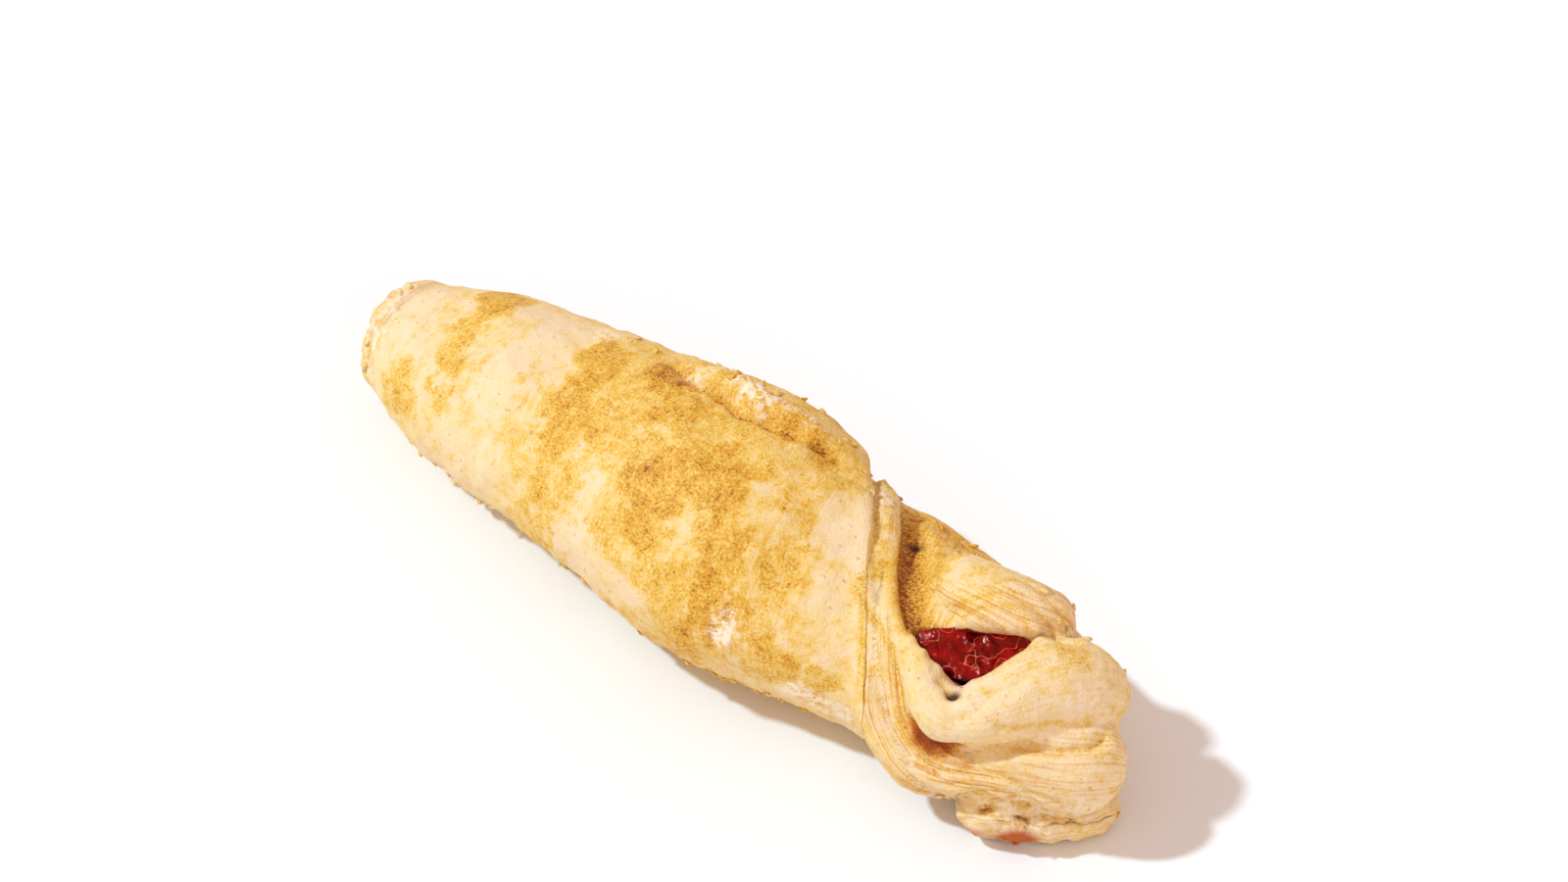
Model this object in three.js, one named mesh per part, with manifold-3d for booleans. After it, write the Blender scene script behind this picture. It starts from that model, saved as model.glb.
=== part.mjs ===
// A guava and cheese pastry: a long roll of puff pastry, twisted at one end so that the layers
// fold over each other and leave a mouth where the guava filling shows.
//
// Millimetres. +X runs from the closed tail to the twisted end, +Z is up, and the roll rests on
// z = 0. The baked dough is one piece, so it is one node; the guava filling is the other.
import * as THREE from "three";
import { mergeVertices } from "three/addons/utils/BufferGeometryUtils.js";
import Module from "manifold-3d";

const wasm = await Module();
wasm.setup();

// ---- driving dimensions ----------------------------------------------------------------------

const CUT_EDGE_TURN = THREE.MathUtils.degToRad(41); // how far the wrap's cut edge is turned from square
const CUT_EDGE_OUT = 22.4; // distance from the roll's middle to the plane of that edge
const FIT_GAP = 0.35; // between the filling and the dough around it
const WELD = 1e-4; // points closer than this are one point
const BLOCK_SIZE = 500; // edge of the blocks that trim a solid, far larger than the roll

const UP = new THREE.Vector3(0, 0, 1);

// The folds wrap around the roll's middle line, which stops short of the twisted end.
const ROLL_AXIS = new THREE.Line3(new THREE.Vector3(-80, 3, 13), new THREE.Vector3(46, 5, 10));

// How finely a lobe is made, and the share of its length that rounds off to each tip.
const WRAP_GRAIN = { around: 44, along: 44, tip: 0.07, whole: true };
const CORE_GRAIN = { around: 36, along: 24, tip: 0.16, whole: true };
const FOLD_GRAIN = { around: 24, along: 16, tip: 0.22, whole: false };
const MOUTH_GRAIN = { around: 20, along: 14, tip: 0.22, whole: false };

// Each stop of a lobe is [x, y, z, half width, half thickness].
const WRAP_STOPS = [
  [-78, 4.5, 8.5, 9.5, 7.6],
  [-68, 3.6, 11.2, 13.8, 11],
  [-56, 3, 12.9, 17.3, 13.8],
  [-42, 3, 14.1, 19, 15.2],
  [-26, 3, 15.2, 20.6, 16.5],
  [-10, 3, 16.8, 23, 18.3],
  [4, 1.8, 17.2, 23.4, 18.7],
  [18, 2.4, 15.4, 20.6, 16.6],
  [32, 4, 13.6, 17.6, 14.8],
  [46, 5, 12.8, 16, 14],
];
const CORE_STOPS = [
  [0, 3, 15.6, 20, 16.4],
  [14, 2.4, 15.4, 19.8, 15.9],
  [28, 3.8, 14.4, 18, 14.6],
  [42, 5.2, 13, 16, 13.4],
  [56, 6.4, 11.2, 13.8, 11.4],
  [69, 7.2, 9.8, 11.4, 9.8],
];
const FOLDS = {
  // the seam along the top, where the end of the dough sheet lies over the roll
  topSeam: [
    [-20, 11, 29.4, 3, 3.2],
    [-10, 12.2, 30.8, 3.6, 3.6],
    [0, 12, 31.6, 4, 3.8],
    [9, 14, 29.6, 3.6, 3.6],
    [15, 17, 26, 3, 3],
  ],
  // the last turn of dough, low on the back of the twisted end
  backFold: [
    [14, 19, 17.5, 5.6, 5],
    [30, 18, 15.5, 6.4, 5.6],
    [45, 17, 14, 6.6, 5.8],
    [58, 15, 11.5, 6.2, 5.8],
    [69, 10.5, 8.5, 5.4, 5],
  ],
  // the cut edge of the wrap, all layers, from the back of the roll over to the base in front
  cutEdge: [
    [16.9, 18.3, 25.5, 3, 3.2],
    [25.4, 7.9, 26.7, 4.4, 3.4],
    [32.7, -0.6, 24.4, 4.6, 3.6],
    [38.5, -6.5, 20.1, 4.8, 4],
    [43.7, -10.2, 15.5, 5.4, 4.6],
    [49.3, -11.2, 12, 5.8, 5],
    [53.4, -9.5, 9, 5, 4.8],
    [57.1, -7.9, 8, 4.4, 4.4],
  ],
  // the rounded fold beside it, which ends under the mouth's near corner
  innerFold: [
    [20.1, 17.8, 25.3, 2.4, 3.4],
    [29, 7.3, 26.4, 2.7, 3.6],
    [35.7, 0, 25.3, 3, 3.8],
    [41.5, -4.1, 24.1, 3.4, 4],
    [47.3, -7.7, 23.2, 3.6, 4.2],
    [51.8, -9, 20.4, 4, 4.4],
  ],
  // the mouth's upper lip
  upperLobe: [
    [34.1, 9.6, 24.1, 5, 6],
    [41.3, 9.1, 24.1, 6.6, 6.4],
    [48.6, 9.6, 24.7, 7, 6.6],
    [53.3, 12.7, 22.6, 6.2, 6.4],
    [57.1, 15.2, 20.4, 4.6, 5],
  ],
  // the mouth's lower lip
  middleLobe: [
    [48.7, -8.1, 21.7, 3.6, 4],
    [54.2, -7.8, 20.9, 4.6, 5],
    [57.8, -4.1, 21.5, 6, 5.8],
    [60.7, 1.6, 21.7, 7.6, 6.4],
    [64.1, 7.6, 20.2, 8, 6.8],
    [68.3, 14.4, 15.3, 6.6, 6],
  ],
  lowerLobe: [
    [54.8, -9.2, 11, 3.6, 4],
    [60.2, -6.5, 11, 4.8, 5],
    [65.2, -2.1, 10.5, 6, 6.2],
    [69.7, 1.9, 10, 6.6, 6.8],
    [74.9, 6.4, 9, 6, 6.4],
  ],
  // the ragged bottom layer that the twisted end stands on
  foot: [
    [56.2, -6.9, 2.6, 3.2, 3.6],
    [60.8, -6, 2.6, 3.6, 4.2],
    [66, -2.4, 2.8, 3.8, 4.4],
    [70.1, 2, 3, 3.8, 4.4],
    [73.9, 7.9, 3.2, 3.6, 4.2],
  ],
};
const MOUTH_STOPS = [
  [41.3, -2.5, 25.1, 2, 5.5],
  [46.3, -2.6, 25.9, 4.4, 7.5],
  [49.9, -1, 26.1, 4.9, 8],
  [52.7, 2.6, 26.3, 3.2, 6.8],
  [55.7, 7.4, 25.7, 1.7, 4.5],
];

// The filling ends at a plane a little below the lips, tipped towards the mouth's open side.
const JAM_LEVEL = new THREE.Vector3(50, -1, 24.6);
const JAM_FACING = new THREE.Vector3(0.28, -0.32, 0.9).normalize();

// ---- dough -------------------------------------------------------------------------------------

function curveThrough(stops, first) {
  const points = stops.map((stop) => new THREE.Vector3(stop[first], stop[first + 1], stop[first + 2] ?? 0));
  return new THREE.CatmullRomCurve3(points);
}

// 1 over the middle of a lobe, falling to 0 at both tips along a quarter circle.
function fullness(share, tip) {
  const fromTip = Math.min(1, share / tip, (1 - share) / tip);
  return Math.sqrt(Math.max(0, 1 - (1 - fromTip) ** 2));
}

// A ball stretched along the stops. Its thickness points away from the roll's middle line, or
// straight up where the lobe is a whole roll of its own.
function doughLobe(stops, { around, along, tip, whole }) {
  const centre = curveThrough(stops, 0);
  const section = curveThrough(stops, 3);
  const ball = new THREE.SphereGeometry(1, around, along);
  const place = ball.getAttribute("position");
  const onBall = new THREE.Vector3();
  const nearest = new THREE.Vector3();
  for (let i = 0; i < place.count; i++) {
    onBall.fromBufferAttribute(place, i);
    const share = (1 - onBall.y) / 2;
    const ring = Math.hypot(onBall.x, onBall.z) || 1;
    const at = centre.getPoint(share);
    const size = section.getPoint(share).multiplyScalar(fullness(share, tip) / ring);
    const forward = centre.getTangent(share);
    ROLL_AXIS.closestPointToPoint(at, true, nearest);
    const away = whole ? UP.clone() : at.clone().sub(nearest);
    away.addScaledVector(forward, -away.dot(forward)).normalize();
    const side = new THREE.Vector3().crossVectors(away, forward);
    at.addScaledVector(side, onBall.x * size.x).addScaledVector(away, onBall.z * size.y);
    place.setXYZ(i, at.x, at.y, at.z);
  }
  return ball;
}

// ---- solids ------------------------------------------------------------------------------------

function solid(geometry) {
  const bare = geometry.clone();
  bare.deleteAttribute("normal");
  bare.deleteAttribute("uv");
  const merged = mergeVertices(bare, WELD);
  const mesh = new wasm.Mesh({
    numProp: 3,
    vertProperties: merged.getAttribute("position").array,
    triVerts: new Uint32Array(merged.index.array),
  });
  return new wasm.Manifold(mesh);
}

function lobe(stops, grain) {
  return solid(doughLobe(stops, grain));
}

// A big block whose near face is the plane through `point` across `normal`, on the normal's side.
function blockBeyond(point, normal) {
  const block = new THREE.BoxGeometry(BLOCK_SIZE, BLOCK_SIZE, BLOCK_SIZE);
  block.translate(0, 0, BLOCK_SIZE / 2);
  block.applyQuaternion(new THREE.Quaternion().setFromUnitVectors(UP, normal));
  block.translate(point.x, point.y, point.z);
  return solid(block);
}

const edgeFacing = new THREE.Vector3(Math.cos(CUT_EDGE_TURN), Math.sin(CUT_EDGE_TURN), 0);
const beyondEdge = blockBeyond(edgeFacing.clone().multiplyScalar(CUT_EDGE_OUT), edgeFacing);
const belowBase = blockBeyond(new THREE.Vector3(0, 0, 0), UP.clone().negate());
const aboveJam = blockBeyond(JAM_LEVEL, JAM_FACING);

const wrap = lobe(WRAP_STOPS, WRAP_GRAIN).subtract(beyondEdge);
let dough = wrap.add(lobe(CORE_STOPS, CORE_GRAIN));
for (const stops of Object.values(FOLDS)) {
  dough = dough.add(lobe(stops, FOLD_GRAIN));
}
dough = dough.subtract(lobe(MOUTH_STOPS, MOUTH_GRAIN)).subtract(belowBase);

const jamStops = MOUTH_STOPS.map(([x, y, z, wide, thick]) => [x, y, z, wide - FIT_GAP, thick - FIT_GAP]);
const jam = lobe(jamStops, MOUTH_GRAIN).subtract(aboveJam);

// ---- the pieces --------------------------------------------------------------------------------

const bakedCrust = new THREE.MeshStandardMaterial({ color: 0xecc88a, roughness: 0.75, metalness: 0 });
const guavaPaste = new THREE.MeshStandardMaterial({ color: 0x8f120c, roughness: 0.2, metalness: 0 });

function piece(name, made, finish) {
  const { vertProperties, triVerts } = made.getMesh();
  const geometry = new THREE.BufferGeometry();
  geometry.setAttribute("position", new THREE.BufferAttribute(vertProperties, 3));
  geometry.setIndex(new THREE.BufferAttribute(triVerts, 1));
  const mesh = new THREE.Mesh(geometry, finish);
  mesh.name = name;
  return mesh;
}

const pastry = new THREE.Group();
pastry.add(piece("pastry_roll", dough, bakedCrust));
pastry.add(piece("guava_filling", jam, guavaPaste));

// The middle of the roll's box goes over the origin; the base is already on z = 0.
const middle = new THREE.Box3().setFromObject(pastry).getCenter(new THREE.Vector3());
for (const mesh of pastry.children) {
  mesh.geometry.translate(-middle.x, -middle.y, 0);
}

export default pastry;
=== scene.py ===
# %% [markdown]
# # A guava and cheese pastry
#
# The real thing is one sheet of puff pastry, rolled round a strip of guava paste and cheese,
# twisted at one end and baked. The layers puff, brown in patches, and part at the twist, where the
# red filling shows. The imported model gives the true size, so it is loaded first and kept.

import math
import random

import bmesh
import bpy
import numpy as np
from mathutils import Matrix, Vector, noise
from mathutils.bvhtree import BVHTree


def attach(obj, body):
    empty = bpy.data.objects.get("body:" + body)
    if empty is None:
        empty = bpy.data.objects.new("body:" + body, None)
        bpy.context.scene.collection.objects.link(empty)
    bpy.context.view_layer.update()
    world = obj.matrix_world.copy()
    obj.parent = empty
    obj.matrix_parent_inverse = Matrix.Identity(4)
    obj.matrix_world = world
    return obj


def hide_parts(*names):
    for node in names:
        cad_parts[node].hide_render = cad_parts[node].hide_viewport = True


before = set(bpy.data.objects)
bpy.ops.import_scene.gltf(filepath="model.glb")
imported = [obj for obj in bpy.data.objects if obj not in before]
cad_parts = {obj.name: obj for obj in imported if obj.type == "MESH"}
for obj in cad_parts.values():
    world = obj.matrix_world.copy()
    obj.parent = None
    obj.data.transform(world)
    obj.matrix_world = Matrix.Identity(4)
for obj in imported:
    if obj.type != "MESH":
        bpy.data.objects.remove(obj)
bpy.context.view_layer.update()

# %% [markdown]
# ## Lobes of dough
#
# Every fold of the pastry is a lobe: a ball drawn out along a bent line, wide across and thick
# outwards. A lobe could be a curve with a bevel, but then its section could only be round and of
# one width at a point. A sphere whose rings are moved onto stops along a line can be as flat, as
# thin at the tips and as twisted as the real fold.

# %% Places are written in millimetres
MM = 0.001
# The stops below are in the CAD source's own millimetres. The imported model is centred, so they move
# by this at the end.
TO_FRAME = np.array([0.532, -1.465, 0.0])
# The folds wrap around the roll's middle line, which stops short of the twisted end.
ROLL_AXIS = np.array([[-80.0, 3.0, 13.0], [46.0, 5.0, 10.0]])


def curve_through(points, shares):
    """Points on a smooth curve through `points`, at shares from 0 to 1 of the way along."""
    p = np.asarray(points, float)
    p = np.vstack([2 * p[0] - p[1], p, 2 * p[-1] - p[-2]])
    span = np.clip(np.asarray(shares, float), 0, 1) * (len(p) - 3)
    i = np.minimum(span.astype(int), len(p) - 4)
    t = (span - i)[:, None]
    a, b, c, d = p[i], p[i + 1], p[i + 2], p[i + 3]
    return b + 0.5 * t * (c - a + t * (2 * a - 5 * b + 4 * c - d + t * (3 * (b - c) + d - a)))


def unit(v):
    """Each row of `v` made one long."""
    return v / np.maximum(np.linalg.norm(v, axis=-1, keepdims=True), 1e-9)


def spine(stops, whole, count):
    """Centre, forward, side, outward direction and half sizes at `count` places along a lobe."""
    shares = np.linspace(0, 1, count)
    table = curve_through(stops, shares)
    centre, size = table[:, :3], table[:, 3:]
    forward = unit(np.gradient(centre, axis=0))
    if whole:
        out = np.tile([0.0, 0.0, 1.0], (count, 1))
    else:
        a, b = ROLL_AXIS
        along = np.clip((centre - a) @ (b - a) / ((b - a) @ (b - a)), 0, 1)
        out = centre - (a + along[:, None] * (b - a))
    out = unit(out - np.sum(out * forward, axis=1)[:, None] * forward)
    return centre, forward, np.cross(out, forward), out, size


def fullness(share, tip):
    """1 over the middle of a lobe, falling to 0 at both tips along a quarter circle."""
    from_tip = np.minimum(1, np.minimum(share, 1 - share) / tip)
    return np.sqrt(np.maximum(0, 1 - (1 - from_tip) ** 2))


# Places worked out along a lobe. Each ring of the sphere moves to the nearest one.
RINGS = 400


def add_lobe(bm, stops, around, along, tip, whole=False):
    """Adds a sphere to `bm` and draws it out along the stops."""
    made = bmesh.ops.create_uvsphere(bm, u_segments=around, v_segments=along, radius=1.0)["verts"]
    on_ball = np.array([v.co for v in made])
    centre, _, side, out, size = spine(stops, whole, RINGS + 1)
    share = (1 + on_ball[:, 2]) / 2
    at = np.clip(np.round(share * RINGS).astype(int), 0, RINGS)
    ring = np.maximum(np.hypot(on_ball[:, 0], on_ball[:, 1]), 1e-6)
    full = (fullness(share, tip) / ring)[:, None]
    place = centre[at] + side[at] * full * size[at, :1] * on_ball[:, :1]
    place = place + out[at] * full * size[at, 1:] * on_ball[:, 1:2]
    for v, p in zip(made, place):
        v.co = p


# %% [markdown]
# ## The roll and its folds
#
# The wrap is the big outer roll. It stops at a cut edge, and under that edge the layered dough
# swirls from the top of the pastry down the front and along the base. Beside it lie a rounded
# inner fold, the two lips of the mouth, the lower layers and the ragged foot. The stops follow the
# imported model's folds, with two more: a shelf of dough under the lip, and a thick lip round the tail.

# %% Stops of each fold: x, y, z, half width, half thickness
WRAP = [
    (-78, 4.5, 8.5, 9.5, 7.6),
    (-68, 3.6, 11.2, 13.8, 11),
    (-56, 3, 12.9, 17.3, 13.8),
    (-42, 3, 14.1, 19, 15.2),
    (-26, 3, 15.2, 20.6, 16.5),
    (-10, 3, 16.8, 23, 18.3),
    (4, 1.8, 17.2, 23.4, 18.7),
    (18, 2.4, 15.4, 20.6, 16.6),
    (32, 4, 13.6, 17.6, 14.8),
    (46, 5, 12.8, 16, 14),
]
CORE = [
    (0, 3, 15.6, 20, 16.4),
    (14, 2.4, 15.4, 19.8, 15.9),
    (28, 3.8, 14.4, 18, 14.6),
    (42, 5.2, 13, 16, 13.4),
    (56, 6.4, 11.2, 13.8, 11.4),
    (69, 7.2, 9.8, 11.4, 9.8),
]
FOLDS = {
    "top_seam": [
        (-20, 11, 29.4, 3, 3.2),
        (-10, 12.2, 30.8, 3.6, 3.6),
        (0, 12, 31.6, 4, 3.8),
        (9, 14, 29.6, 3.6, 3.6),
        (15, 17, 26, 3, 3),
    ],
    "back_fold": [
        (14, 19, 17.5, 5.6, 5),
        (30, 18, 15.5, 6.4, 5.6),
        (45, 17, 14, 6.6, 5.8),
        (58, 15, 11.5, 6.2, 5.8),
        (69, 10.5, 8.5, 5.4, 5),
    ],
    "edge_outer": [
        (16.7, 18.7, 25.8, 2.4, 3),
        (25.1, 7.3, 27, 2.8, 3.2),
        (31.7, -1.4, 24.3, 2.8, 3.4),
        (36.7, -7, 19.9, 3, 3.8),
        (40.4, -10.2, 15.5, 3.4, 4.4),
        (44.8, -11.4, 12.2, 4, 4.6),
        (49.2, -11.2, 9.6, 4.4, 4.8),
        (53.1, -9.6, 8.2, 4.2, 4.6),
        (56.5, -7.5, 7.6, 3.8, 4.4),
    ],
    "edge_inner": [
        (19, 18.4, 25.5, 2.6, 3),
        (26.4, 8.7, 26.8, 2.6, 3.2),
        (33.6, 0.3, 24.9, 2.8, 3.6),
        (39.2, -4.8, 22.2, 3.2, 4),
        (43.7, -7.5, 18.2, 3.8, 4.4),
        (49.3, -9.7, 14.6, 4.2, 4.8),
        (53.6, -7.8, 12, 4.2, 4.8),
        (58.2, -5.2, 10.6, 3.6, 4.4),
    ],
    "inner_fold": [
        (20.1, 19.6, 24.3, 2.8, 3.4),
        (29, 7.3, 26.4, 2.7, 3.6),
        (35.7, 0.2, 25.2, 2.9, 3.8),
        (41.5, -3.9, 23.9, 2.9, 4),
        (46.7, -7.2, 23, 3.2, 4.2),
        (50.8, -9, 21, 4.2, 4.8),
        (55.2, -7.8, 20.5, 4.6, 5),
        (58.7, -4.1, 21.3, 5, 5.4),
    ],
    "upper_lip": [
        (34.1, 9.6, 24.1, 5, 6),
        (41.3, 9.1, 24.1, 6.6, 6.4),
        (48.6, 9.6, 24.7, 7, 6.6),
        (53.3, 12.7, 22.6, 6.2, 6.4),
        (57.1, 15.2, 20.4, 4.6, 5),
    ],
    "lower_lip": [
        (48.7, -8.1, 21.7, 3.6, 4),
        (54.2, -7.8, 20.9, 4.6, 5),
        (57.8, -4.1, 21.5, 6, 5.8),
        (60.7, 1.6, 21.7, 7.6, 6.4),
        (64.1, 7.6, 20.2, 8, 6.8),
        (68.3, 14.4, 15.3, 6.6, 6),
    ],
    "tail_lip": [
        (-73.2, 11, 13.5, 3, 3.6),
        (-74, 6.5, 16.8, 3.4, 4.2),
        (-74.3, 1, 17.2, 3.4, 4.3),
        (-73.8, -5, 15.2, 3, 3.6),
    ],
    "lower_layer": [
        (55.2, -8.4, 13, 4.2, 4.2),
        (60.2, -5.6, 13.4, 6, 5),
        (65.2, -1.6, 13.2, 7.4, 6.2),
        (69.7, 2.2, 12.6, 8, 6.8),
        (74.2, 7, 10.6, 7, 6.4),
    ],
    "shelf": [
        (47.5, -11.2, 11.6, 3.8, 4),
        (54, -10.8, 11.8, 4, 4.4),
        (60.5, -7.8, 12, 3.6, 4.4),
        (66.5, -4, 10.8, 3, 4),
    ],
    "foot": [
        (55.6, -8.2, 3.8, 3.6, 4.4),
        (60.8, -7.4, 5, 5, 5.2),
        (66, -3.8, 4.4, 4.6, 5.2),
        (70.3, 1.2, 3.6, 4, 5),
        (73.9, 7.5, 3.2, 3.4, 4.4),
    ],
}
MOUTH = [
    (41.8, -2.4, 25.3, 1.6, 5.2),
    (45.9, -2.1, 25.8, 3.6, 7.5),
    (49.8, -0.8, 26.3, 4.9, 8),
    (52.7, 2.6, 26.3, 3.4, 6.8),
    (55.8, 7.7, 25.5, 1.7, 4.5),
]
# The wrap is cut off by an upright plane: how far it is turned, and how far it lies from the middle.
CUT_EDGE_TURN = math.radians(41)
CUT_EDGE_OUT = 22.4
# The share of each lobe's length that rounds off to a tip.
WRAP_TIP, CORE_TIP, FOLD_TIP = 0.034, 0.16, 0.22

# %% [markdown]
# ## One skin
#
# The folds are baked together, so they need one skin. A boolean join would keep every hard line
# where two lobes meet. The voxel remesh joins them as dough does, into an even grid of small
# squares, and a little smoothing rounds the valleys. The even grid can then carry fine relief.

# %% Join the lobes
VOXEL = 0.56
bm = bmesh.new()
add_lobe(bm, WRAP, 96, 120, WRAP_TIP, whole=True)
edge_facing = Vector((math.cos(CUT_EDGE_TURN), math.sin(CUT_EDGE_TURN), 0))
bmesh.ops.bisect_plane(
    bm,
    geom=bm.verts[:] + bm.edges[:] + bm.faces[:],
    plane_co=edge_facing * CUT_EDGE_OUT,
    plane_no=edge_facing,
    clear_outer=True,
)
bmesh.ops.holes_fill(bm, edges=[e for e in bm.edges if e.is_boundary])
add_lobe(bm, CORE, 72, 80, CORE_TIP, whole=True)
for stops in FOLDS.values():
    add_lobe(bm, stops, 40, 60, FOLD_TIP)
bmesh.ops.recalc_face_normals(bm, faces=bm.faces[:])
skin = bpy.data.meshes.new("pastry_skin")
bm.to_mesh(skin)
bm.free()
roll = bpy.data.objects.new("pastry", skin)
bpy.context.scene.collection.objects.link(roll)


def apply_modifiers(piece):
    """Replaces a piece's mesh with the one that its modifiers make."""
    evaluated = piece.evaluated_get(bpy.context.evaluated_depsgraph_get())
    made = bpy.data.meshes.new_from_object(evaluated)
    piece.modifiers.clear()
    piece.data = made


def cut_with(piece, cutter):
    """Cuts `cutter` out of the piece, and removes the cutter."""
    take = piece.modifiers.new("cut", "BOOLEAN")
    take.operation = "DIFFERENCE"
    take.solver = "EXACT"
    take.object = cutter
    apply_modifiers(piece)
    bpy.data.objects.remove(cutter)


def remesh(piece, voxel):
    """Wraps the piece in one closed skin of squares that are `voxel` wide."""
    net = piece.modifiers.new("remesh", "REMESH")
    net.mode = "VOXEL"
    net.voxel_size = voxel
    apply_modifiers(piece)


remesh(roll, VOXEL)

# %% Cut the mouth open and close the skin again
bm = bmesh.new()
add_lobe(bm, MOUTH, 32, 32, FOLD_TIP)
bmesh.ops.recalc_face_normals(bm, faces=bm.faces[:])
mouth_mesh = bpy.data.meshes.new("mouth")
bm.to_mesh(mouth_mesh)
bm.free()
mouth = bpy.data.objects.new("mouth", mouth_mesh)
bpy.context.scene.collection.objects.link(mouth)
cut_with(roll, mouth)
remesh(roll, VOXEL)
print("skin:", len(roll.data.vertices), "points")

# %% [markdown]
# ## Where each point of the skin lies in its fold
#
# Relief and browning follow the folds: the lines of cut dough run along a fold, and its top browns
# first. So each point is given the fold that it belongs to, and its place across and along that
# fold. A UV map could hold this, but unwrapping a remeshed skin would not follow the folds.

# %% Fold coordinates
def points_of(piece):
    """The piece's points and their outward directions, one row each."""
    count = len(piece.data.vertices)
    place, facing = np.zeros(count * 3), np.zeros(count * 3)
    piece.data.vertices.foreach_get("co", place)
    piece.data.vertices.foreach_get("normal", facing)
    return place.reshape(-1, 3), facing.reshape(-1, 3)


def move_points(piece, place):
    """Puts the piece's points at new places, one row each."""
    piece.data.vertices.foreach_set("co", np.asarray(place, np.float32).ravel())
    piece.data.update()


def soften(piece, times, factor=0.5):
    """Rounds every edge a little by moving each point towards its neighbours."""
    bm = bmesh.new()
    bm.from_mesh(piece.data)
    for _ in range(times):
        bmesh.ops.smooth_vert(
            bm, verts=bm.verts[:], factor=factor, use_axis_x=True, use_axis_y=True, use_axis_z=True
        )
    bm.to_mesh(piece.data)
    bm.free()


def in_fold(place, stops, tip, whole=False, samples=72):
    """How far out of the fold each point is (1 is its surface), and its place in the fold, in mm."""
    centre, forward, side, out, size = spine(stops, whole, samples)
    nearest = np.zeros(len(place), int)
    best = np.full(len(place), 1e9)
    for i in range(samples):
        away = np.sum((place - centre[i]) ** 2, axis=1)
        closer = away < best
        best[closer], nearest[closer] = away[closer], i
    full = np.maximum(fullness(nearest / (samples - 1), tip), 0.3)
    gap = place - centre[nearest]
    across = np.sum(gap * side[nearest], axis=1) / (size[nearest, 0] * full)
    up = np.sum(gap * out[nearest], axis=1) / (size[nearest, 1] * full)
    length = np.concatenate([[0], np.cumsum(np.linalg.norm(np.diff(centre, axis=0), axis=1))])
    reach = length[nearest] + np.sum(gap * forward[nearest], axis=1)
    girth = size[nearest].mean(axis=1)
    beyond = np.sum(gap * forward[nearest], axis=1) / girth
    return np.sqrt(across**2 + up**2 + beyond**2), np.arctan2(across, up) * girth, reach


# How strongly the cut layers show on each fold: 0 is a smooth skin, 1 is a cut face.
LAYERED = {
    "wrap": 0.0,
    "core": 0.4,
    "top_seam": 0.1,
    "back_fold": 0.5,
    "edge_outer": 0.95,
    "edge_inner": 1.0,
    "inner_fold": 0.2,
    "upper_lip": 0.8,
    "lower_lip": 0.15,
    "tail_lip": 0.6,
    "lower_layer": 0.5,
    "shelf": 1.0,
    "foot": 0.5,
}
# Smooth skin lies over part of some folds: place, half length, half width round it, and how smooth.
SMOOTH = [
    ((41, 11, 29.5), 8, 7, 1.0),
    ((33, 8, 28), 6, 6, 0.7),
    ((52, -11, 23), 6, 5, 0.6),
    ((46, -13, 13), 5, 6, 0.3),
]


def step_up(value, low, high):
    """0 below `low`, 1 above `high`, and a smooth rise between them."""
    t = np.clip((value - low) / (high - low), 0, 1)
    return t * t * (3 - 2 * t)


def spread(place, patches):
    """The strongest soft blob at each point: (place, half length, half width round the roll, strength)."""
    most = np.zeros(len(place))
    for (x, y, z), half_along, half_round, strength in patches:
        slant = place[:, 0] - x + 0.25 * (place[:, 1] - y)
        round_it = (place[:, 1] - y) ** 2 + (place[:, 2] - z) ** 2
        reach = np.sqrt((slant / half_along) ** 2 + round_it / half_round**2)
        most = np.maximum(most, strength * (1 - step_up(reach, 0.55, 1.15)))
    return most


# How far out of a fold a point lies is counted from 0 at its middle to 1 at its surface.
OFF_THE_WRAP = 9  # added for the wrap, past its cut edge
LOBE_BLEND = 18  # how sharply one fold gives way to the next
LINE_FADE = (0.01, 0.09)  # the lines fade out where two folds are nearer than this to equal
LINES_APART = 7.0  # each fold reads another part of the pattern
LINE_SLANT = 0.25  # how far the lines slant on a round part


def read_folds(place):
    """For each point: its share of the smooth wrap, how layered it is, and its fold's lines."""
    folds = {"wrap": (WRAP, WRAP_TIP, True), "core": (CORE, CORE_TIP, True)}
    folds.update({name: (stops, FOLD_TIP, False) for name, stops in FOLDS.items()})
    readings = np.array([in_fold(place, *fold) for fold in folds.values()])
    out, across, along = readings[:, 0], readings[:, 1], readings[:, 2]
    # Past its cut edge the wrap owns nothing.
    out[0] += OFF_THE_WRAP * (place @ np.array(edge_facing) > CUT_EDGE_OUT + 0.4)
    owner, row = out.argmin(axis=0), np.arange(len(place))
    two = np.partition(out, 1, axis=0)[:2]
    # Where two folds meet their lines don't match, so the lines fade out there.
    sure = step_up(two[1] - two[0], *LINE_FADE)
    share = np.exp(-LOBE_BLEND * (out - out.min(axis=0)))
    share /= share.sum(axis=0)
    layered = np.array([LAYERED[name] for name in folds]) @ share * (1 - spread(place, SMOOTH)) * sure
    # On a whole roll the dough was pulled round it, so its lines run round and not along.
    round_it = owner <= 1
    u, v = across[owner, row], along[owner, row]
    crosswise = np.where(round_it, v + LINE_SLANT * u, u)
    lines = np.stack([crosswise, np.where(round_it, u, v), owner * LINES_APART], axis=1)
    print("points in each fold:", {name: int((owner == i).sum()) for i, name in enumerate(folds)})
    return share[0], layered, lines, sure


soften(roll, 3)
SKIN, OUT = points_of(roll)
on_wrap, layered, lines, sure = read_folds(SKIN)

# %% [markdown]
# ## Relief
#
# Baking swells the dough in slow bulges, raises small blisters, and opens the cut layers into fine
# ridges. Creases mark where one fold presses on the next. A displacement texture could do the
# bulges, but the creases have their own places, so all of it is added up as one height at each
# point, and the points move outwards by it.

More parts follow.
